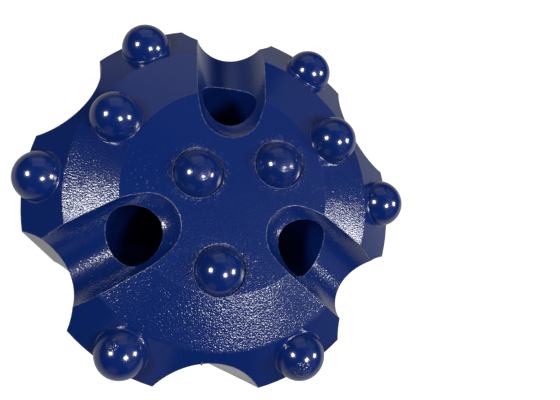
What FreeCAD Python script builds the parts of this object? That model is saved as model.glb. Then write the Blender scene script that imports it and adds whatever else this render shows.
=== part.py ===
"""Down-the-hole hammer button bit, 105 mm gauge, 3.5-inch class (FreeCAD 1.1, millimetres).

The bit is one forged and machined steel body with eleven domed carbide buttons pressed into
blind sockets: six on the gauge bevel, two on the conical shoulder and three on the flat face.
The part stands on its flat strike face: the origin is the centre of that face and +Z is the
bit axis, towards the drilling face.
"""
import FreeCAD, Part
import math
import os

Vector = FreeCAD.Vector
ORIGIN = Vector(0, 0, 0)
Z_AXIS = Vector(0, 0, 1)

# --- Shank, from the strike face up ---------------------------------------------------------
tail_clearance = 0.5          # tail journal inside the spline root, so that the chuck's teeth pass over it
tail_length = 34.0
tail_chamfer = 2.5
strike_bore_chamfer = 1.5
ring_neck_depth = 4.5         # below the tail journal; the retaining rings sit here
ring_neck_length = 32.0
ring_neck_fillet = 4.0
spline_count = 8
spline_outer_diameter = 64.0
spline_root_diameter = 54.0
spline_tooth_width = 11.5
spline_length = 50.0
spline_runout_radius = 18.0   # radius of the cutter that ends each spline groove
spline_lead_chamfer = 2.5
guide_diameter = 67.0         # plain guide between the splines and the head
guide_length = 14.0
guide_fillet = 4.0

# --- Head -----------------------------------------------------------------------------------
head_shoulder_diameter = 84.0  # flat ring that meets the drive chuck
head_rear_bevel_angle = 45.0   # degrees from the shoulder plane
head_length = 72.0             # shoulder to the gauge rim
gauge_diameter = 105.0         # over the gauge buttons, the hole that the bit drills
gauge_relief = 2.2             # how far the gauge buttons stand outside the steel rim
back_taper_angle = 2.0         # degrees, the skirt narrows towards the shank
gauge_bevel_angle = 40.0       # degrees below the face plane
gauge_bevel_width = 10.4       # along the radius, from the rim in to the conical shoulder
cone_angle = 20.0              # degrees below the face plane
cone_width = 13.4              # along the radius, from the gauge bevel in to the flat front face

# --- Chip flutes along the head ---------------------------------------------------------------
flute_count = 6
flute_first_angle = 30.0       # degrees about the axis
flute_radius = 18.0            # radius of the round flute cutter
flute_depth = 7.9              # from the gauge rim to the bottom of a flute

# --- Air passages -----------------------------------------------------------------------------
flushing_count = 3
flushing_first_angle = 90.0    # every second flute has a flushing groove
groove_radius = 9.6            # ball-nosed cutter
groove_slope = 26.6            # degrees, falling towards the rim
groove_start_radius = 21.7     # bit axis to the cutter's centre at the inner end
groove_start_height = 5.2      # cutter's centre above the face plane at the inner end
flushing_hole_diameter = 15.0
flushing_hole_angle = 22.0     # degrees from the bit axis, converging towards the shank
flushing_mouth_radius = 23.3   # bit axis to the hole's axis, at the depth below
flushing_mouth_depth = 10.7    # below the face plane
tail_bore_diameter = 24.0      # through the shank
tail_bore_depth = 130.0        # from the strike face to the step
head_bore_diameter = 20.0      # on from the step into the head
head_bore_end_depth = 28.0     # below the gauge rim, to the end of the full diameter
drill_point_angle = 118.0

# --- Carbide buttons --------------------------------------------------------------------------
button_diameter = 13.0
button_shank_length = 12.0     # cylinder under the dome
button_foot_chamfer = 1.2
gauge_angles = (2.5, 58.7, 120.2, 178.8, 241.6, 300.0)   # one on each land, a little unevenly pitched
gauge_dome_lift = 0.35         # dome centre above the surface that carries the button
mid_track_radius = 32.8        # bit axis to the buttons on the cone
mid_angles = (151.0, 30.0)
mid_dome_lift = 0.9
front_inner_track = 8.2        # bit axis to each button on the flat face
front_inner_angle = 155.0
front_middle_track = 15.6
front_middle_angle = 30.0
front_outer_track = 20.5
front_outer_angle = 268.5
front_dome_lift = -2.0         # the front domes are sunk below the face

# --- Derived places ---------------------------------------------------------------------------
ring_neck_start = tail_length
spline_start = ring_neck_start + ring_neck_length
guide_start = spline_start + spline_length
shoulder_height = guide_start + guide_length
rim_height = shoulder_height + head_length
rim_radius = gauge_diameter / 2 - gauge_relief
cone_edge_radius = rim_radius - gauge_bevel_width
face_radius = cone_edge_radius - cone_width
flute_floor_radius = rim_radius - flute_depth
tail_radius = spline_root_diameter / 2 - tail_clearance
ring_neck_radius = tail_radius - ring_neck_depth
button_radius = button_diameter / 2
cone_edge_height = rim_height + (rim_radius - cone_edge_radius) * math.tan(math.radians(gauge_bevel_angle))
face_height = cone_edge_height + (cone_edge_radius - face_radius) * math.tan(math.radians(cone_angle))
head_bore_end = rim_height - head_bore_end_depth
skirt_slope = math.tan(math.radians(back_taper_angle))
clear = 20.0                   # how far a cutting tool overruns the steel


def polar(radius, angle, height=0.0):
    """Point at a radius and angle (degrees) about the bit axis."""
    turn = math.radians(angle)
    return Vector(radius * math.cos(turn), radius * math.sin(turn), height)


def ring_angles(count, first):
    """Angles of evenly spaced features, in degrees."""
    return [first + 360.0 * index / count for index in range(count)]


def turned(points):
    """Solid of revolution about the bit axis from (radius, height) corners."""
    corners = [Vector(radius, 0, height) for radius, height in points]
    wire = Part.makePolygon(corners + corners[:1])
    return Part.Face(wire).revolve(ORIGIN, Z_AXIS, 360)


def turned_about_axis(solid, angle):
    """Copy of a solid turned about the bit axis."""
    copy = solid.copy()
    copy.rotate(ORIGIN, Z_AXIS, angle)
    return copy


def circular_edges(solid, radius, height):
    """Edges of a solid that are circles about the bit axis with this radius and height."""
    found = []
    for edge in solid.Edges:
        curve = edge.Curve
        if isinstance(curve, Part.Circle) and abs(curve.Radius - radius) < 1e-4:
            centre = curve.Center
            if math.hypot(centre.x, centre.y) < 1e-4 and abs(centre.z - height) < 1e-4:
                found.append(edge)
    return found


def turned_blank():
    """Lathe profile of shank and head, with the neck and guide fillets."""
    spline_radius = spline_outer_diameter / 2
    guide_radius = guide_diameter / 2
    shoulder_radius = head_shoulder_diameter / 2
    rear_tan = math.tan(math.radians(head_rear_bevel_angle))
    rear_radius = rim_radius - head_length * skirt_slope
    rear_rise = (rear_radius - shoulder_radius) * rear_tan / (1 - skirt_slope * rear_tan)
    bevel_top_radius = rear_radius + rear_rise * skirt_slope
    blank = turned([
        (0, 0),
        (tail_radius - tail_chamfer, 0),
        (tail_radius, tail_chamfer),
        (tail_radius, ring_neck_start),
        (ring_neck_radius, ring_neck_start),
        (ring_neck_radius, spline_start),
        (spline_radius - spline_lead_chamfer, spline_start),
        (spline_radius, spline_start + spline_lead_chamfer),
        (spline_radius, guide_start),
        (guide_radius, guide_start + guide_radius - spline_radius),
        (guide_radius, shoulder_height),
        (shoulder_radius, shoulder_height),
        (bevel_top_radius, shoulder_height + rear_rise),
        (rim_radius, rim_height),
        (cone_edge_radius, cone_edge_height),
        (face_radius, face_height),
        (0, face_height),
    ])
    neck_edges = (circular_edges(blank, ring_neck_radius, ring_neck_start)
                  + circular_edges(blank, ring_neck_radius, spline_start))
    blank = blank.makeFillet(ring_neck_fillet, neck_edges)
    return blank.makeFillet(guide_fillet, circular_edges(blank, guide_radius, shoulder_height))


def spline_cutter():
    """All spline grooves as one tool: a ring with a run-out arc, less the teeth."""
    root = spline_root_diameter / 2
    outer = spline_outer_diameter / 2 + clear
    start = Vector(root, 0, spline_start - clear / 4)
    runout_centre = Vector(root + spline_runout_radius, 0, guide_start - spline_runout_radius)
    runout_start = Vector(root, 0, runout_centre.z)
    reach = math.radians(135)
    runout_middle = runout_centre + Vector(math.cos(reach), 0, math.sin(reach)) * spline_runout_radius
    runout_end = Vector(runout_centre.x, 0, guide_start)
    edges = [
        Part.LineSegment(start, runout_start).toShape(),
        Part.Arc(runout_start, runout_middle, runout_end).toShape(),
        Part.makePolygon([runout_end, Vector(outer, 0, guide_start), Vector(outer, 0, start.z), start]),
    ]
    ring = Part.Face(Part.Wire(edges[:2] + edges[2].Edges)).revolve(ORIGIN, Z_AXIS, 360)
    tooth_height = guide_start - start.z + clear
    tooth = Part.makeBox(outer + clear, spline_tooth_width, tooth_height,
                         Vector(0, -spline_tooth_width / 2, start.z - clear / 2))
    teeth = [turned_about_axis(tooth, angle) for angle in ring_angles(spline_count, 0.0)]
    return ring.cut(teeth)


def flute_cutter(angle):
    """Round-bottomed flute along the whole head."""
    centre = polar(flute_floor_radius + flute_radius, angle, shoulder_height - clear)
    return Part.makeCylinder(flute_radius, head_length + 3 * clear, centre, Z_AXIS)


def flushing_groove_cutter(angle):
    """Ball-nosed cutter swept outwards and down from beside the face centre to the rim."""
    slope = math.radians(groove_slope)
    start = Vector(groove_start_radius, 0, face_height + groove_start_height)
    outward = Vector(math.cos(slope), 0, -math.sin(slope))
    sweep = Part.makeCylinder(groove_radius, 2 * rim_radius, start, outward)
    ball = Part.makeSphere(groove_radius, start)
    return turned_about_axis(sweep.fuse(ball).removeSplitter(), angle)


def flushing_hole_cutter(angle):
    """Drilled hole from a groove back to the axis of the central bore."""
    tilt = math.radians(flushing_hole_angle)
    inward = Vector(-math.sin(tilt), 0, -math.cos(tilt))
    mouth = Vector(flushing_mouth_radius, 0, face_height - flushing_mouth_depth)
    depth = flushing_mouth_radius / math.sin(tilt)
    start = mouth - inward * clear
    hole = Part.makeCylinder(flushing_hole_diameter / 2, depth + clear, start, inward)
    return turned_about_axis(hole, angle)


def bore_cutter():
    """Stepped air bore with its drill point and the chamfer at the strike face."""
    shank_radius = tail_bore_diameter / 2
    head_radius = head_bore_diameter / 2
    point_rise = 1 / math.tan(math.radians(drill_point_angle / 2))
    return turned([
        (0, -clear),
        (shank_radius + strike_bore_chamfer + clear, -clear),
        (shank_radius, strike_bore_chamfer),
        (shank_radius, tail_bore_depth),
        (head_radius, tail_bore_depth + (shank_radius - head_radius) * point_rise),
        (head_radius, head_bore_end),
        (0, head_bore_end + head_radius * point_rise),
    ])


def place_along(solid, base, direction):
    """Stand a solid that was made along +Z on a base point, pointing along a direction."""
    solid.Placement = FreeCAD.Placement(base, FreeCAD.Rotation(Z_AXIS, direction))
    return solid


def button(dome_centre, direction):
    """Carbide button: hemispherical dome on a cylinder with a chamfered foot."""
    foot = button_radius - button_foot_chamfer
    arc_middle = button_radius * math.sqrt(0.5)
    edges = Part.makePolygon([
        Vector(0, 0, button_radius),
        Vector(0, 0, -button_shank_length),
        Vector(foot, 0, -button_shank_length),
        Vector(button_radius, 0, -button_shank_length + button_foot_chamfer),
        Vector(button_radius, 0, 0),
    ]).Edges
    dome = Part.Arc(Vector(button_radius, 0, 0), Vector(arc_middle, 0, arc_middle),
                    Vector(0, 0, button_radius)).toShape()
    profile = Part.Face(Part.Wire(edges + [dome]))
    return place_along(profile.revolve(ORIGIN, Z_AXIS, 360), dome_centre, direction)


def socket_cutter(dome_centre, direction):
    """Blind socket that a button is pressed into, open to the outside."""
    depth = button_shank_length
    cutter = Part.makeCylinder(button_radius, depth + button_diameter)
    return place_along(cutter, dome_centre - direction * depth, direction)


def seat(surface_radius, surface_height, slope, angle, lift):
    """Dome centre and outward direction of a button on a surface that falls at a slope."""
    tilt = math.radians(slope)
    direction = polar(math.sin(tilt), angle, math.cos(tilt))
    return polar(surface_radius, angle, surface_height) + direction * lift, direction


def gauge_seats():
    """Seats on the gauge bevel, set so that the domes reach the gauge diameter."""
    tilt = math.radians(gauge_bevel_angle)
    centre_radius = gauge_diameter / 2 - button_radius
    surface_radius = centre_radius - gauge_dome_lift * math.sin(tilt)
    surface_height = rim_height + (rim_radius - surface_radius) * math.tan(tilt)
    return [seat(surface_radius, surface_height, gauge_bevel_angle, angle, gauge_dome_lift)
            for angle in gauge_angles]


def mid_seats():
    """Seats on the conical shoulder."""
    slope = math.tan(math.radians(cone_angle))
    height = cone_edge_height + (cone_edge_radius - mid_track_radius) * slope
    return [seat(mid_track_radius, height, cone_angle, angle, mid_dome_lift) for angle in mid_angles]


def front_seats():
    """Seats on the flat face, at different radii so that their tracks cover it."""
    tracks = ((front_inner_track, front_inner_angle),
              (front_middle_track, front_middle_angle),
              (front_outer_track, front_outer_angle))
    return [seat(radius, face_height, 0.0, angle, front_dome_lift) for radius, angle in tracks]


def bit_body(seats):
    """The steel body: turned blank, splines, flutes, air passages and button sockets."""
    body = turned_blank().cut(spline_cutter())
    body = body.cut([flute_cutter(angle) for angle in ring_angles(flute_count, flute_first_angle)])
    flushing_angles = ring_angles(flushing_count, flushing_first_angle)
    body = body.cut([flushing_groove_cutter(angle) for angle in flushing_angles])
    body = body.cut([bore_cutter()] + [flushing_hole_cutter(angle) for angle in flushing_angles])
    return body.cut([socket_cutter(centre, direction) for centre, direction in seats])


def build():
    """All solids of the bit by node name."""
    groups = {
        "gauge_button": gauge_seats(),
        "mid_button": mid_seats(),
        "front_button": front_seats(),
    }
    all_seats = [one for seats in groups.values() for one in seats]
    solids = {"bit_body": bit_body(all_seats)}
    for name, seats in groups.items():
        for number, (centre, direction) in enumerate(seats, start=1):
            solids["%s_%d" % (name, number)] = button(centre, direction)
    return solids


os.makedirs("parts", exist_ok=True)
for node, shape in build().items():
    shape.exportStep("parts/%s.step" % node)
    print(node, "valid" if shape.isValid() else "INVALID", "solids", len(shape.Solids),
          "volume %.1f" % shape.Volume)
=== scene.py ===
"""Looks of a painted down-the-hole button bit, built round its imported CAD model.

The steel body and the carbide buttons keep their CAD meshes and are dressed in blue enamel. New
pieces are the beads of paint where each button leaves the steel, and a paint nib on a flute edge.
"""

import logging
import math
from dataclasses import dataclass, field
from enum import Enum

import bmesh
import bpy
from mathutils import Matrix, Vector

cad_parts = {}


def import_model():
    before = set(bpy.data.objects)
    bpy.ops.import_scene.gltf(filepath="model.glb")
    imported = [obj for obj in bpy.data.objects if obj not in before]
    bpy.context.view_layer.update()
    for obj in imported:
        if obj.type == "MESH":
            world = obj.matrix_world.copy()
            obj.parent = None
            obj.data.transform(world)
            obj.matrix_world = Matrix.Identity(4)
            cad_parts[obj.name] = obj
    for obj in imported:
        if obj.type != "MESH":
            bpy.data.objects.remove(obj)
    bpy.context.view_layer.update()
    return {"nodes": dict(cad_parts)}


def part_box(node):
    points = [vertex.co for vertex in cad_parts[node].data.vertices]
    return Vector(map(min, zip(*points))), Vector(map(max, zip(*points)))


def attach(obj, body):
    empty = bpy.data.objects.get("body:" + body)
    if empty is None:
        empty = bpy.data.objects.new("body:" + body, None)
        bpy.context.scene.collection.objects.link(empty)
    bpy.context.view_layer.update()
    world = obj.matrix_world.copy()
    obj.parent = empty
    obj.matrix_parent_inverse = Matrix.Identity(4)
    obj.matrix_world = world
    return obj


log = logging.getLogger("button_bit")

BODY_NODE = "bit_body"
MM = 0.001
COLOUR = tuple[float, float, float, float]
SOCKET = bpy.types.NodeSocket


class Track(Enum):
    """Where a button stands: node prefix, and how far the surface under it falls in degrees."""

    GAUGE = ("gauge_button", 40.0)
    CONE = ("mid_button", 20.0)
    FACE = ("front_button", 0.0)

    @property
    def tilt(self) -> float:
        """Tilt of the button from the bit axis, in degrees."""
        return self.value[1]

    @classmethod
    def of_node(cls, node: str) -> "Track":
        """Track of a button by its node name.

        Args:
            node: name of the CAD node.

        Returns:
            The track whose prefix the name starts with.
        """
        return next(track for track in cls if node.startswith(track.value[0]))


@dataclass(frozen=True)
class Seat:
    """Where one button stands.

    Attributes:
        node: name of its CAD node.
        track: the ring of buttons that it belongs to.
        centre: centre of its dome.
        axis: unit vector out of the dome.
        radius: radius of the dome and of the shank under it.
    """

    node: str
    track: Track
    centre: Vector
    axis: Vector
    radius: float

    @classmethod
    def from_frame(cls, node: str) -> "Seat":
        """Work a seat out from the node's box: on the side it leans to, the box touches the dome.

        Args:
            node: name of the button's CAD node.

        Returns:
            The seat.
        """
        low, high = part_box("front_button_1")
        radius = (high.x - low.x) / 2
        low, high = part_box(node)
        track = Track.of_node(node)
        middle = (low + high) / 2
        if track is not Track.FACE:
            middle.x = high.x - radius if middle.x > 0 else low.x + radius
            middle.y = high.y - radius if middle.y > 0 else low.y + radius
        centre = Vector((middle.x, middle.y, high.z - radius))
        turn = math.atan2(centre.y, centre.x)
        tilt = math.radians(track.tilt)
        axis = Vector((math.sin(tilt) * math.cos(turn), math.sin(tilt) * math.sin(turn), math.cos(tilt)))
        return cls(node, track, centre, axis, radius)

    @property
    def reach(self) -> float:
        """Distance from the bit axis to the outermost point of the dome."""
        return math.hypot(self.centre.x, self.centre.y) + self.radius

    def sides(self) -> tuple[Vector, Vector]:
        """Two unit vectors square to the axis.

        Returns:
            One that points downhill, away from the bit axis, and one along the ring of buttons.
        """
        outward = Vector((self.centre.x, self.centre.y, 0)).normalized()
        along = self.axis.cross(outward)
        if along.length < 1e-6:
            along = Vector((0, 0, 1)).cross(outward)
        along.normalize()
        return along.cross(self.axis).normalized(), along


@dataclass(frozen=True)
class HeadProfile:
    """The turned top of the head, as heights over the radius, in metres.

    Attributes:
        face_height: height of the flat face above the strike face.
        rim_radius: steel radius at the gauge rim.
        bevel_width: gauge bevel along the radius.
        cone_width: conical shoulder along the radius.
    """

    face_height: float
    rim_radius: float
    bevel_width: float = 10.4 * MM
    cone_width: float = 13.4 * MM

    @classmethod
    def from_frame(cls) -> "HeadProfile":
        """Read the head off the frame.

        Returns:
            The profile, with the rim a fixed relief inside the gauge buttons.
        """
        relief = 2.2 * MM
        return cls(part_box(BODY_NODE)[1].z, Seat.from_frame("gauge_button_1").reach - relief)

    @property
    def cone_radius(self) -> float:
        """Radius where the gauge bevel meets the cone."""
        return self.rim_radius - self.bevel_width

    @property
    def face_radius(self) -> float:
        """Radius of the flat face."""
        return self.cone_radius - self.cone_width

    @property
    def rim_height(self) -> float:
        """Height of the gauge rim."""
        return self.height(self.rim_radius)

    def height(self, radius: float) -> float:
        """Height of the steel's turned top.

        Args:
            radius: distance from the bit axis.

        Returns:
            Height above the strike face.
        """
        cone = min(max(radius - self.face_radius, 0.0), self.cone_width)
        bevel = max(radius - self.cone_radius, 0.0)
        return (self.face_height - cone * math.tan(math.radians(Track.CONE.tilt))
                - bevel * math.tan(math.radians(Track.GAUGE.tilt)))


class Shader:
    """Builds the node tree of one material."""

    def __init__(self, name: str) -> None:
        """Start an empty node tree.

        Args:
            name: name of the material.
        """
        self.material = bpy.data.materials.new(name)
        self.material.use_nodes = True
        self.tree = self.material.node_tree
        self.tree.nodes.clear()
        self.place = self.add("ShaderNodeTexCoord").outputs["Object"]

    def add(self, kind: str, **inputs: object) -> bpy.types.Node:
        """Add a node.

        Args:
            kind: Blender's identifier of the node type.
            **inputs: values or sockets for inputs, named with underscores for spaces.

        Returns:
            The new node.
        """
        node = self.tree.nodes.new(kind)
        for name, value in inputs.items():
            self.feed(value, node.inputs[name.replace("_", " ")])
        return node

    def feed(self, value: object, target: SOCKET) -> None:
        """Link a socket, or set a plain value.

        Args:
            value: an output socket, a number, a vector or a colour.
            target: the input.
        """
        if isinstance(value, SOCKET):
            self.tree.links.new(value, target)
        else:
            target.default_value = value

    def math(self, operation: str, first: object, second: object = 0.0, third: object = 0.0) -> SOCKET:
        """Add a Math node.

        Args:
            operation: the node's operation.
            first: a socket or a number.
            second: a socket or a number.
            third: a socket or a number, for operations with three.

        Returns:
            The result.
        """
        node = self.tree.nodes.new("ShaderNodeMath")
        node.operation = operation
        for value, target in zip((first, second, third), node.inputs):
            self.feed(value, target)
        return node.outputs[0]

    def noise(self, scale: float, detail: float = 2.0) -> SOCKET:
        """Add a noise texture on the piece's own coordinates.

        Args:
            scale: features per metre.
            detail: octaves.

        Returns:
            The noise value, from 0 to 1 about 0.5.
        """
        texture = self.add("ShaderNodeTexNoise", Vector=self.place, Scale=scale, Detail=detail)
        return texture.outputs["Fac"]

    def away(self, point: Vector) -> SOCKET:
        """Distance from a point.

        Args:
            point: the point in the row frame, in metres.

        Returns:
            The distance in metres.
        """
        node = self.tree.nodes.new("ShaderNodeVectorMath")
        node.operation = "DISTANCE"
        self.feed(self.place, node.inputs[0])
        node.inputs[1].default_value = point
        return node.outputs["Value"]

    def from_axis(self) -> SOCKET:
        """Distance from the bit axis, in metres."""
        flat = self.add("ShaderNodeMapping", Vector=self.place, Scale=(1, 1, 0))
        length = self.tree.nodes.new("ShaderNodeVectorMath")
        length.operation = "LENGTH"
        self.feed(flat.outputs[0], length.inputs[0])
        return length.outputs["Value"]

    def ramp(self, value: object, start: float, end: float, low: float = 0.0, high: float = 1.0) -> SOCKET:
        """Map a range smoothly onto another.

        Args:
            value: the socket to map.
            start: value that gives low.
            end: value that gives high.
            low: result at start.
            high: result at end.

        Returns:
            The mapped value, clamped.
        """
        if start > end:
            start, end, low, high = end, start, high, low
        node = self.tree.nodes.new("ShaderNodeMapRange")
        node.interpolation_type = "SMOOTHSTEP"
        settings = {"Value": value, "From Min": start, "From Max": end, "To Min": low, "To Max": high}
        for name, number in settings.items():
            self.feed(number, node.inputs[name])
        return node.outputs["Result"]


@dataclass(frozen=True)
class Enamel:
    """Gloss blue enamel: a coloured film with a clear gloss on top.

    Attributes:
        name: name of the material.
        colour: base colour, linear.
        highlight_and_overspray_colour: pale colour painted as highlight dots along sharp edges, standing
            in for the lamps' glints on the rounded paint, and the paleness of dry overspray grains.
        roughness: roughness of the coloured film.
        gloss_roughness: roughness of the clear gloss.
        edge_radius: how far the paint rounds every sharp edge, in metres.
        highlight_dot_scale: painted highlight dots per metre along the edges.
    """

    name: str
    colour: COLOUR = (0.0023, 0.0225, 0.176, 1.0)
    highlight_and_overspray_colour: COLOUR = (0.42, 0.48, 0.66, 1.0)
    roughness: float = 0.2
    gloss_roughness: float = 0.05
    edge_radius: float = 0.35 * MM
    highlight_dot_scale: float = 1500.0

    def relief(self, shader: Shader) -> SOCKET:
        """Height of the paint's relief in metres; each enamel has its own."""
        raise NotImplementedError

    def film(self, shader: Shader) -> object:
        """Roughness of the coloured film."""
        return self.roughness

    def overspray_and_glint_paleness(self, shader: Shader) -> object:
        """How pale the film is from dry overspray and painted glints, from 0 to 1."""
        return 0.0

    def tint(self, shader: Shader, rounded: SOCKET) -> SOCKET:
        """Colour of the film, with painted highlight dots along the sharp edges and paler loose grains.

        Args:
            shader: the tree to build in.
            rounded: surface normal with the edges rounded.

        Returns:
            The colour.
        """
        turned = shader.tree.nodes.new("ShaderNodeVectorMath")
        turned.operation = "DOT_PRODUCT"
        shader.feed(rounded, turned.inputs[0])
        shader.feed(shader.add("ShaderNodeNewGeometry").outputs["True Normal"], turned.inputs[1])
        # Painted highlight: pale dots along sharp edges stand in for the lamps' glints on the rounded
        # paint edges.
        edge = shader.ramp(turned.outputs["Value"], 0.98, 0.86)
        dots = shader.ramp(shader.noise(self.highlight_dot_scale, 1.0), 0.42, 0.58, 0.25, 1.0)
        # Pale grains are partly dry overspray and partly painted glints.
        share = shader.math("MAXIMUM", shader.math("MULTIPLY", edge, dots), self.overspray_and_glint_paleness(shader))
        mixed = shader.tree.nodes.new("ShaderNodeMix")
        mixed.data_type = "RGBA"
        shader.feed(share, mixed.inputs[0])
        mixed.inputs[6].default_value = self.colour
        mixed.inputs[7].default_value = self.highlight_and_overspray_colour
        return mixed.outputs[2]

    def build(self) -> bpy.types.Material:
        """Make the material.

        Returns:
            The material.
        """
        shader = Shader(self.name)
        output = shader.add("ShaderNodeOutputMaterial")
        rounded = shader.add("ShaderNodeBevel", Radius=self.edge_radius)
        rounded.samples = 4
        bump = shader.add("ShaderNodeBump", Height=self.relief(shader), Distance=1.0, Strength=1.0,
                          Normal=rounded.outputs[0])
        paint = shader.add("ShaderNodeBsdfPrincipled", Base_Color=self.tint(shader, rounded.outputs[0]),
                           Roughness=self.film(shader), Coat_Weight=1.0,
                           Coat_Roughness=self.gloss_roughness, Normal=bump.outputs[0],
                           Coat_Normal=bump.outputs[0])
        shader.feed(paint.outputs["BSDF"], output.inputs["Surface"])
        return shader.material


@dataclass(frozen=True)
class BodyEnamel(Enamel):
    """Enamel sprayed over the steel body: grainy on the drilling face, smoother on the gauge bevel.

    Attributes:
        profile: the turned top of the head; the grainy coat ends where the gauge bevel starts.
        halos: dome centres that coarse overspray lies round.
        halo_radius: radius of the overspray.
        halo_core: radius inside which the overspray is thickest.
        grain_scale: grains of the coat per metre.
        grain_height: height of the grain.
        comb_scale: cutter lines per metre in the grooves.
        comb_height: height of the cutter lines.
        comb_stretch: how much slower the lines vary along the bit axis.
        nub_height: height of dust and overspray.
        nub_glint_paleness: how pale they are, from 0 to 1: partly dry overspray, partly painted glints.
        blend: half width of the change from the grainy coat to the bevel.
    """

    roughness: float = 0.24
    gloss_roughness: float = 0.06
    profile: HeadProfile | None = None
    halos: tuple[Vector, ...] = ()
    halo_radius: float = 9.5 * MM
    halo_core: float = 6.8 * MM
    grain_scale: float = 2500.0
    grain_height: float = 0.1 * MM
    comb_scale: float = 2100.0
    comb_height: float = 0.075 * MM
    comb_stretch: float = 0.25
    nub_height: float = 0.07 * MM
    nub_glint_paleness: float = 0.4
    blend: float = 0.5 * MM

    def nubs(self, shader: Shader, spacing: float, size: float) -> SOCKET:
        """Round grains of dust and overspray under the paint.

        Args:
            shader: the tree to build in.
            spacing: distance between grains in metres.
            size: radius of a grain in metres.

        Returns:
            1 on a grain's top, falling to 0 at its edge.
        """
        cells = shader.add("ShaderNodeTexVoronoi", Vector=shader.place, Scale=1.0 / spacing)
        return shader.ramp(cells.outputs["Distance"], size / spacing, 0.0)

    def halo(self, shader: Shader) -> object:
        """How close a place is to one of the sunk buttons, from 0 to 1."""
        total: object = 0.0
        for centre in self.halos:
            near = shader.ramp(shader.away(centre), self.halo_radius, self.halo_core)
            total = shader.math("MAXIMUM", total, near)
        return total

    def spray(self, shader: Shader) -> SOCKET:
        """Fine grains of overspray that lie in the halos."""
        thinned = shader.ramp(shader.noise(700.0), 0.38, 0.6)
        grains = shader.math("MULTIPLY", self.nubs(shader, 0.42 * MM, 0.18 * MM), thinned)
        return shader.math("MULTIPLY", grains, self.halo(shader))

    def dust(self, shader: Shader) -> SOCKET:
        """Scattered grains of dust under the paint, thickest on the side that was sprayed last."""
        patches = shader.ramp(shader.noise(60.0), 0.42, 0.6)
        lower = shader.ramp(self.across_and_up(shader)[0], 16 * MM, -12 * MM)
        top = self.grainy(shader, shader.from_axis(), 0.0)
        grains = shader.math("MULTIPLY", self.nubs(shader, 1.1 * MM, 0.24 * MM), patches)
        return shader.math("MULTIPLY", shader.math("MULTIPLY", grains, lower), top)

    def overspray_and_glint_paleness(self, shader: Shader) -> object:
        """Paleness of the loose grains: dry overspray, made paler still as painted glints."""
        # Painted glints: the grains are paled beyond the overspray's own tone to stand in for their
        # sparkle.
        return shader.math("MULTIPLY", self.loose(shader), self.nub_glint_paleness)

    def loose(self, shader: Shader) -> SOCKET:
        """Dust and overspray together."""
        return shader.math("ADD", self.spray(shader), self.dust(shader))

    def grainy(self, shader: Shader, radius: SOCKET, outside: float) -> SOCKET:
        """Share of the grainy coat: 1 within the cone's edge.

        Args:
            shader: the tree to build in.
            radius: distance from the bit axis.
            outside: share beyond the edge.

        Returns:
            The share.
        """
        edge = self.profile.cone_radius
        return shader.ramp(radius, edge + self.blend, edge - self.blend, outside, 1.0)

    def across_and_up(self, shader: Shader) -> tuple[SOCKET, SOCKET]:
        """Places along the row frame's Y and Z axes, in metres."""
        parts = shader.tree.nodes.new("ShaderNodeSeparateXYZ")
        shader.feed(shader.place, parts.inputs[0])
        return parts.outputs[1], parts.outputs[2]

    def relief(self, shader: Shader) -> SOCKET:
        """Grain of the body's paint, coarser on the side that was sprayed last.

        Args:
            shader: the tree to build in.

        Returns:
            The height in metres.
        """
        radius = shader.from_axis()
        grainy = self.grainy(shader, radius, 0.2)
        outside = shader.math("MAXIMUM", shader.math("SUBTRACT", radius, self.profile.face_radius), 0.0)
        side = shader.math("MULTIPLY_ADD", outside, -1.2, self.across_and_up(shader)[0])
        late = shader.ramp(side, 12 * MM, -10 * MM, 0.15, 1.0)
        patchy = shader.ramp(shader.noise(45.0), 0.35, 0.65, 0.7, 1.15)
        fine = shader.math("MULTIPLY", shader.noise(self.grain_scale, 1.0), self.grain_height)
        grain = shader.math("MULTIPLY", shader.math("MULTIPLY", fine, patchy), late)
        coarse = shader.math("MULTIPLY", grain, grainy)
        inside = self.depth(shader, radius)
        turned = shader.math("MULTIPLY", coarse, shader.math("SUBTRACT", 1.0, inside))
        combed = shader.math("MULTIPLY", self.combing(shader), inside)
        loose = shader.math("MULTIPLY", self.loose(shader), self.nub_height)
        return shader.math("ADD", shader.math("ADD", turned, combed), loose)

    def depth(self, shader: Shader, radius: SOCKET) -> SOCKET:
        """How far a place lies inside a groove, from 0 on the turned top to 1 a little below it.

        Args:
            shader: the tree to build in.
            radius: distance from the bit axis.

        Returns:
            The share.
        """
        cone = shader.math("MAXIMUM", shader.math("SUBTRACT", radius, self.profile.face_radius), 0.0)
        cone = shader.math("MINIMUM", cone, self.profile.cone_width)
        bevel = shader.math("MAXIMUM", shader.math("SUBTRACT", radius, self.profile.cone_radius), 0.0)
        drop = shader.math("MULTIPLY", cone, math.tan(math.radians(Track.CONE.tilt)))
        drop = shader.math("MULTIPLY_ADD", bevel, math.tan(math.radians(Track.GAUGE.tilt)), drop)
        below = shader.math("ADD", drop, self.across_and_up(shader)[1])
        below = shader.math("SUBTRACT", self.profile.face_height, below)
        return shader.ramp(below, 0.3 * MM, 0.9 * MM)

    def combing(self, shader: Shader) -> SOCKET:
        """Fine lines down the walls of the grooves, left by the cutter under the paint.

        Args:
            shader: the tree to build in.

        Returns:
            The height in metres.
        """
        stretched = shader.add("ShaderNodeMapping", Vector=shader.place, Scale=(1, 1, self.comb_stretch))
        lines = shader.add("ShaderNodeTexNoise", Vector=stretched.outputs[0], Scale=self.comb_scale,
                           Detail=1.0)
        return shader.math("MULTIPLY", lines.outputs["Fac"], self.comb_height)


class MarkKind(Enum):
    """Marks in the paint of a dome."""

    RINGS = "rings"
    SCUFF = "scuff"


@dataclass(frozen=True)
class Mark:
    """One mark on a dome.

    Attributes:
        kind: what it looks like.
        towards: direction of the mark from the dome's centre.
        radius: size of the mark in metres.
    """

    kind: MarkKind
    towards: tuple[float, float, float]
    radius: float


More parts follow.
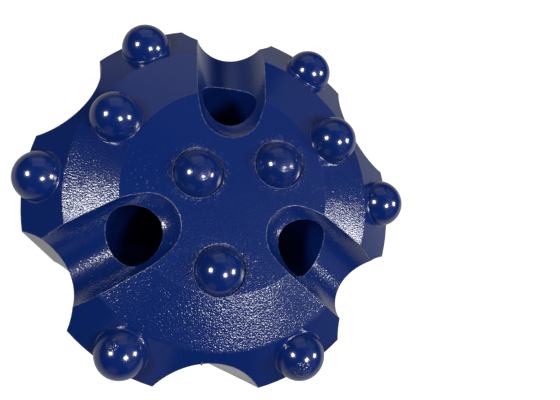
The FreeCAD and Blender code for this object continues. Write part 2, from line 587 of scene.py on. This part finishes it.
@dataclass(frozen=True)
class DomeEnamel(Enamel):
    """Enamel over a polished carbide dome.

    Attributes:
        seat: the button.
        mark: a mark in its paint, if it has one.
        wave_height: height of the film's slow waves.
        fine_height: height of its fine texture.
        ring_pitch: distance between the rings of a mark.
        ring_height: height of the rings.
        worm_scale: wrinkles per metre in a scuff.
        worm_height: height of the wrinkles.
        mark_roughness: added roughness inside a mark.
        mark_blend: width of a mark's soft edge.
    """

    gloss_roughness: float = 0.03
    wave_height: float = 0.05 * MM
    fine_height: float = 0.004 * MM
    ring_pitch: float = 0.7 * MM
    ring_height: float = 0.008 * MM
    worm_scale: float = 1300.0
    worm_height: float = 0.32 * MM
    mark_roughness: float = 0.12
    mark_blend: float = 0.25 * MM
    seat: Seat | None = None
    mark: Mark | None = None

    def marked(self, shader: Shader) -> tuple[SOCKET, SOCKET]:
        """Distance from the mark's middle, and the share of it at each place.

        Args:
            shader: the tree to build in.

        Returns:
            The distance in metres and the share from 0 to 1.
        """
        middle = self.seat.centre + Vector(self.mark.towards).normalized() * self.seat.radius
        away = shader.away(middle)
        return away, shader.ramp(away, self.mark.radius, self.mark.radius - self.mark_blend)

    def film(self, shader: Shader) -> object:
        """Roughness of the coloured film, higher inside a mark."""
        if self.mark is None:
            return self.roughness
        return shader.math("MULTIPLY_ADD", self.marked(shader)[1], self.mark_roughness, self.roughness)

    def relief(self, shader: Shader) -> SOCKET:
        """Slight waviness of the film, and the mark.

        Args:
            shader: the tree to build in.

        Returns:
            The height in metres.
        """
        waves = shader.math("MULTIPLY", shader.noise(260.0, 1.0), self.wave_height)
        fine = shader.math("MULTIPLY", shader.noise(1500.0, 1.0), self.fine_height)
        height = shader.math("ADD", waves, fine)
        if self.mark is None:
            return height
        away, inside = self.marked(shader)
        if self.mark.kind is MarkKind.RINGS:
            turns = shader.math("SINE", shader.math("MULTIPLY", away, 2 * math.pi / self.ring_pitch))
            scratches = shader.math("MULTIPLY_ADD", shader.noise(2200.0), 0.03 * MM, 0.07 * MM)
            texture = shader.math("MULTIPLY_ADD", turns, self.ring_height, scratches)
        else:
            worms = shader.add("ShaderNodeTexVoronoi", Vector=shader.place, Scale=self.worm_scale)
            texture = shader.math("MULTIPLY", worms.outputs["Distance"], self.worm_height)
        return shader.math("MULTIPLY_ADD", texture, inside, height)


def add_piece(name: str, mesh: bmesh.types.BMesh, material: bpy.types.Material) -> bpy.types.Object:
    """Turn a finished mesh into a piece that rides on the bit.

    Args:
        name: name of the piece.
        mesh: the mesh, in the row frame; freed here.
        material: its finish.

    Returns:
        The object.
    """
    bmesh.ops.recalc_face_normals(mesh, faces=mesh.faces)
    for face in mesh.faces:
        face.smooth = True
    data = bpy.data.meshes.new(name)
    mesh.to_mesh(data)
    mesh.free()
    data.materials.append(material)
    piece = bpy.data.objects.new(name, data)
    bpy.context.scene.collection.objects.link(piece)
    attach(piece, "root")
    log.info("built %s with %d faces", name, len(data.polygons))
    return piece


@dataclass(frozen=True)
class PaintBead:
    """Concave bead of paint round the foot of a button.

    Attributes:
        seat: the button.
        profile: the turned top of the steel.
        width: how far the bead runs out over the steel.
        climb: how far it climbs the button.
        dip: how far its middle is pulled down into the crack beside the button.
        sink: how far its two edges are buried.
        fade: length over which the bead dies out at the gauge rim.
        least_share: size below which the bead is left off.
        segments: steps round the button.
        steps: steps across the bead.
    """

    seat: Seat
    profile: HeadProfile
    width: float = 0.5 * MM
    climb: float = 0.5 * MM
    dip: float = 0.0
    sink: float = 0.03 * MM
    fade: float = 0.6 * MM
    least_share: float = 0.15
    segments: int = 144
    steps: int = 7

    def surface(self, turn: float, away: float) -> float:
        """Where the steel lies under a place beside the button.

        Args:
            turn: angle about the button's axis, from downhill.
            away: distance from the button's axis.

        Returns:
            Distance of the steel along the axis from the dome's centre, positive outwards.
        """
        downhill, along = self.seat.sides()
        beside = self.seat.centre + (downhill * math.cos(turn) + along * math.sin(turn)) * away
        low, high = -self.seat.radius, self.seat.radius
        for _ in range(40):
            level = (low + high) / 2
            point = beside + self.seat.axis * level
            if point.z > self.profile.height(math.hypot(point.x, point.y)):
                high = level
            else:
                low = level
        return level

    def girth(self, level: float) -> float:
        """Radius of the button at a distance along its axis from the dome's centre."""
        return self.seat.radius if level <= 0 else math.sqrt(max(self.seat.radius**2 - level**2, 0.0))

    def section(self, turn: float, share: float) -> list[tuple[float, float]]:
        """Points across the bead.

        Args:
            turn: angle about the button's axis.
            share: size of the bead here, from 0 to 1.

        Returns:
            Pairs of distance from the axis and level along it, from the steel to the button.
        """
        waver = 1 + 0.18 * math.sin(3 * turn + self.seat.centre.x * 900) + 0.12 * math.sin(7 * turn + 1.3)
        width, climb = self.width * share * waver, self.climb * share * waver
        corner_level = self.surface(turn, self.seat.radius)
        corner = (self.girth(corner_level), corner_level - self.dip)
        foot = (self.seat.radius + width, self.surface(turn, self.seat.radius + width) - self.sink)
        top = (self.girth(corner_level + climb) - self.sink, corner_level + climb)
        points = []
        for step in range(self.steps + 1):
            t = step / self.steps
            blend = ((1 - t) ** 2, 2 * t * (1 - t), t**2)
            corners = list(zip(blend, (foot, corner, top)))
            points.append(tuple(sum(part * point[axis] for part, point in corners) for axis in (0, 1)))
        return points

    def span(self) -> list[tuple[float, float]]:
        """Angles that the bead covers, with its size at each.

        Returns:
            Pairs of angle and share; on the gauge the bead fades out towards the rim.
        """
        downhill, along = self.seat.sides()
        found = []
        for step in range(self.segments + 1):
            turn = 2 * math.pi * step / self.segments
            across = downhill * math.cos(turn) + along * math.sin(turn)
            beside = self.seat.centre + across * (self.seat.radius + self.width)
            spare = self.profile.rim_radius - math.hypot(beside.x, beside.y)
            found.append((turn, min(max(spare / self.fade, 0.0), 1.0)))
        return found

    def build(self, material: bpy.types.Material) -> bpy.types.Object:
        """Build the bead.

        Args:
            material: its paint.

        Returns:
            The piece.
        """
        mesh = bmesh.new()
        downhill, along = self.seat.sides()
        rows: list[list[bmesh.types.BMVert] | None] = []
        for turn, share in self.span():
            if share < self.least_share:
                rows.append(None)
                continue
            across = downhill * math.cos(turn) + along * math.sin(turn)
            rows.append([mesh.verts.new(self.seat.centre + across * away + self.seat.axis * level)
                         for away, level in self.section(turn, share)])
        for one, two in zip(rows, rows[1:]):
            if one is None or two is None:
                continue
            for corners in zip(one, one[1:], two[1:], two):
                mesh.faces.new(corners)
        bmesh.ops.remove_doubles(mesh, verts=mesh.verts, dist=1e-7)
        return add_piece("paint_bead_" + self.seat.node, mesh, material)


@dataclass(frozen=True)
class PaintNib:
    """Small hardened drip on the edge of a chip flute.

    Attributes:
        place: middle of the nib in metres.
        radius: radius at its root.
    """

    place: Vector
    radius: float = 0.32 * MM

    def build(self, material: bpy.types.Material) -> bpy.types.Object:
        """Build the nib as a drop that points outwards from the edge.

        Args:
            material: its paint.

        Returns:
            The piece.
        """
        mesh = bmesh.new()
        bmesh.ops.create_uvsphere(mesh, u_segments=16, v_segments=10, radius=self.radius)
        outward = Vector((self.place.x, self.place.y, 0)).normalized()
        for vertex in mesh.verts:
            vertex.co += outward * max(vertex.co.dot(outward), 0.0) * 0.9
        bmesh.ops.translate(mesh, verts=mesh.verts, vec=self.place)
        return add_piece("paint_nib", mesh, material)


@dataclass
class Button:
    """One carbide button in its paint, with the bead round its foot."""

    seat: Seat
    profile: HeadProfile
    mark: Mark | None = None

    def dress(self, node: bpy.types.Object) -> None:
        """Paint the CAD dome.

        Args:
            node: the button's CAD object.
        """
        paint = DomeEnamel("dome_enamel_" + self.seat.node, seat=self.seat, mark=self.mark).build()
        for slot in node.material_slots:
            slot.material = paint
        log.info("painted %s", self.seat.node)

    def build(self, bead_paint: bpy.types.Material) -> None:
        """Add the bead.

        Args:
            bead_paint: finish of the bead.
        """
        bead = PaintBead(self.seat, self.profile)
        if self.seat.track is Track.FACE:
            bead = PaintBead(self.seat, self.profile, width=0.2 * MM, climb=0.12 * MM, dip=0.9 * MM)
        bead.build(bead_paint)


@dataclass
class Head:
    """Steel body and all its buttons."""

    nodes: dict[str, bpy.types.Object]
    profile: HeadProfile
    flute_floor_radius: float = 42.4 * MM
    nib_azimuth: float = 266.5
    marks: dict[str, Mark] = field(default_factory=lambda: {
        "front_button_1": Mark(MarkKind.RINGS, (0.05, -0.12, 1.0), 2.5 * MM),
        "front_button_2": Mark(MarkKind.RINGS, (0.05, -0.12, 1.0), 2.9 * MM),
        "gauge_button_5": Mark(MarkKind.SCUFF, (-0.36, 0.28, 0.89), 1.5 * MM),
        "gauge_button_6": Mark(MarkKind.SCUFF, (-0.11, -0.55, 0.83), 2.2 * MM),
    })

    def seats(self) -> list[Seat]:
        """Seats of all the buttons, in the order of their names."""
        return [Seat.from_frame(name) for name in sorted(self.nodes) if name != BODY_NODE]

    def build(self) -> None:
        """Paint the body and the buttons, and add the beads and the nib."""
        seats = self.seats()
        sunk = tuple(seat.centre for seat in seats if seat.track is Track.FACE)
        body_paint = BodyEnamel("body_enamel", profile=self.profile, halos=sunk).build()
        for slot in self.nodes[BODY_NODE].material_slots:
            slot.material = body_paint
        log.info("painted %s", BODY_NODE)
        for seat in seats:
            button = Button(seat, self.profile, self.marks.get(seat.node))
            button.dress(self.nodes[seat.node])
            button.build(body_paint)
        turn, radius = math.radians(self.nib_azimuth), self.flute_floor_radius
        place = Vector((radius * math.cos(turn), radius * math.sin(turn), self.profile.height(radius)))
        PaintNib(place).build(body_paint)


@dataclass(frozen=True)
class Lamp:
    """One soft lamp round the head, square and facing it.

    Attributes:
        name: name of the lamp.
        azimuth: degrees about the bit axis.
        elevation: degrees above the gauge rim.
        size: edge of the lamp in metres.
        power: watts.
    """

    name: str
    azimuth: float
    elevation: float
    size: float
    power: float


@dataclass
class Studio:
    """Floor, white surround, lamps and camera.

    Attributes:
        profile: the turned top of the head.
        lamp_distance: from the head's middle to each lamp, in metres.
        floor_size: half the floor's edge in metres.
        floor_glow: extra brightness of the floor for the camera alone.
        surround: brightness of the white surround for everything but the camera.
        lens: focal length in millimetres.
        shift: sideways and upward shift of the lens.
        aim: point on the face plane that the camera looks at, in metres.
        camera_azimuth: degrees about the bit axis.
        camera_elevation: degrees above the face plane.
        camera_distance: from the aim to the camera, in metres.
        camera_roll: degrees about the line of sight.
        lamps: the lamps.
    """

    profile: HeadProfile
    lamp_distance: float = 1.2
    floor_size: float = 3.0
    floor_glow: float = 0.85
    surround: float = 0.01
    lens: float = 38.43
    shift: tuple[float, float] = (0.0167, -0.0704)
    aim: tuple[float, float] = (11.14 * MM, 8.58 * MM)
    camera_azimuth: float = -131.009
    camera_elevation: float = 68.743
    camera_distance: float = 156.27 * MM
    camera_roll: float = 45.05
    lamps: tuple[Lamp, ...] = (
        Lamp("left_lamp", -175.5, 45.5, 0.27, 5.6),
        Lamp("near_lamp", -47.0, 61.0, 0.27, 5.6),
        Lamp("right_lamp", -4.3, 32.2, 0.27, 4.8),
        Lamp("right_high_panel", 0.0, 55.0, 0.70, 0.28),
        Lamp("back_high_panel", 60.0, 56.0, 0.70, 0.08),
        Lamp("back_right_panel", 45.0, 32.0, 0.75, 0.24),
        Lamp("back_panel", 97.0, 36.0, 0.95, 0.72),
        Lamp("back_low_panel", 108.0, 9.0, 0.95, 0.26),
        Lamp("near_right_panel", -45.0, 32.0, 0.75, 0.18),
        Lamp("near_right_low_panel", -45.0, 8.0, 0.75, 0.08),
        Lamp("near_left_low_panel", -112.0, 8.0, 0.60, 0.14),
    )

    def around(self, azimuth: float, elevation: float, distance: float) -> Vector:
        """Offset in a direction.

        Args:
            azimuth: degrees about the bit axis.
            elevation: degrees above the horizontal.
            distance: metres.

        Returns:
            The offset.
        """
        turn, lift = math.radians(azimuth), math.radians(elevation)
        level = math.cos(lift)
        return Vector((level * math.cos(turn), level * math.sin(turn), math.sin(lift))) * distance

    def add_lamps(self) -> None:
        """Add the lamps, each facing the head."""
        middle = Vector((0, 0, self.profile.rim_height))
        for lamp in self.lamps:
            light = bpy.data.lights.new(lamp.name, "AREA")
            light.size = lamp.size
            light.energy = lamp.power
            holder = bpy.data.objects.new(lamp.name, light)
            offset = self.around(lamp.azimuth, lamp.elevation, self.lamp_distance)
            facing = (-offset).to_track_quat("-Z", "Y").to_matrix().to_4x4()
            holder.matrix_world = Matrix.Translation(middle + offset) @ facing
            bpy.context.scene.collection.objects.link(holder)

    def add_world(self) -> None:
        """White surround for the camera only; the lamps light the bit."""
        world = bpy.data.worlds.new("surround")
        bpy.context.scene.world = world
        world.use_nodes = True
        tree = world.node_tree
        tree.nodes.clear()
        output = tree.nodes.new("ShaderNodeOutputWorld")
        background = tree.nodes.new("ShaderNodeBackground")
        background.inputs["Color"].default_value = (1, 1, 1, 1)
        path = tree.nodes.new("ShaderNodeLightPath")
        strength = tree.nodes.new("ShaderNodeMapRange")
        strength.inputs["To Min"].default_value = self.surround
        tree.links.new(path.outputs["Is Camera Ray"], strength.inputs["Value"])
        tree.links.new(strength.outputs["Result"], background.inputs["Strength"])
        tree.links.new(background.outputs["Background"], output.inputs["Surface"])

    def add_floor(self) -> None:
        """Pale floor under the strike face, lit up for the camera so that only the shadow shows."""
        mesh = bmesh.new()
        bmesh.ops.create_grid(mesh, x_segments=1, y_segments=1, size=self.floor_size)
        data = bpy.data.meshes.new("floor")
        mesh.to_mesh(data)
        mesh.free()
        floor = bpy.data.objects.new("floor", data)
        bpy.context.scene.collection.objects.link(floor)
        shader = Shader("floor_white")
        output = shader.add("ShaderNodeOutputMaterial")
        path = shader.add("ShaderNodeLightPath")
        glow = shader.math("MULTIPLY", path.outputs["Is Camera Ray"], self.floor_glow)
        paper = shader.add("ShaderNodeBsdfPrincipled", Base_Color=(0.45, 0.45, 0.45, 1.0), Roughness=0.9,
                           Emission_Color=(1, 1, 1, 1), Emission_Strength=glow)
        shader.feed(paper.outputs["BSDF"], output.inputs["Surface"])
        data.materials.append(shader.material)

    def add_camera(self) -> None:
        """Camera that looks down on the head from beside the bit axis."""
        data = bpy.data.cameras.new("camera")
        data.sensor_width = 36.0
        data.lens = self.lens
        data.shift_x, data.shift_y = self.shift
        camera = bpy.data.objects.new("camera", data)
        aim = Vector((*self.aim, self.profile.face_height))
        offset = self.around(self.camera_azimuth, self.camera_elevation, self.camera_distance)
        facing = (-offset).to_track_quat("-Z", "Y").to_matrix().to_4x4()
        roll = Matrix.Rotation(math.radians(self.camera_roll), 4, "Z")
        camera.matrix_world = Matrix.Translation(aim + offset) @ facing @ roll
        bpy.context.scene.collection.objects.link(camera)
        bpy.context.scene.camera = camera

    def build(self) -> None:
        """Add everything round the bit."""
        self.add_world()
        self.add_floor()
        self.add_lamps()
        self.add_camera()
        bpy.context.scene.view_settings.view_transform = "Standard"
        log.info("studio ready")


def main() -> None:
    """Build the scene."""
    logging.basicConfig(level=logging.INFO, format="%(name)s: %(message)s")
    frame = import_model()
    profile = HeadProfile.from_frame()
    Head(frame["nodes"], profile).build()
    Studio(profile).build()


if __name__ == "__main__":
    main()
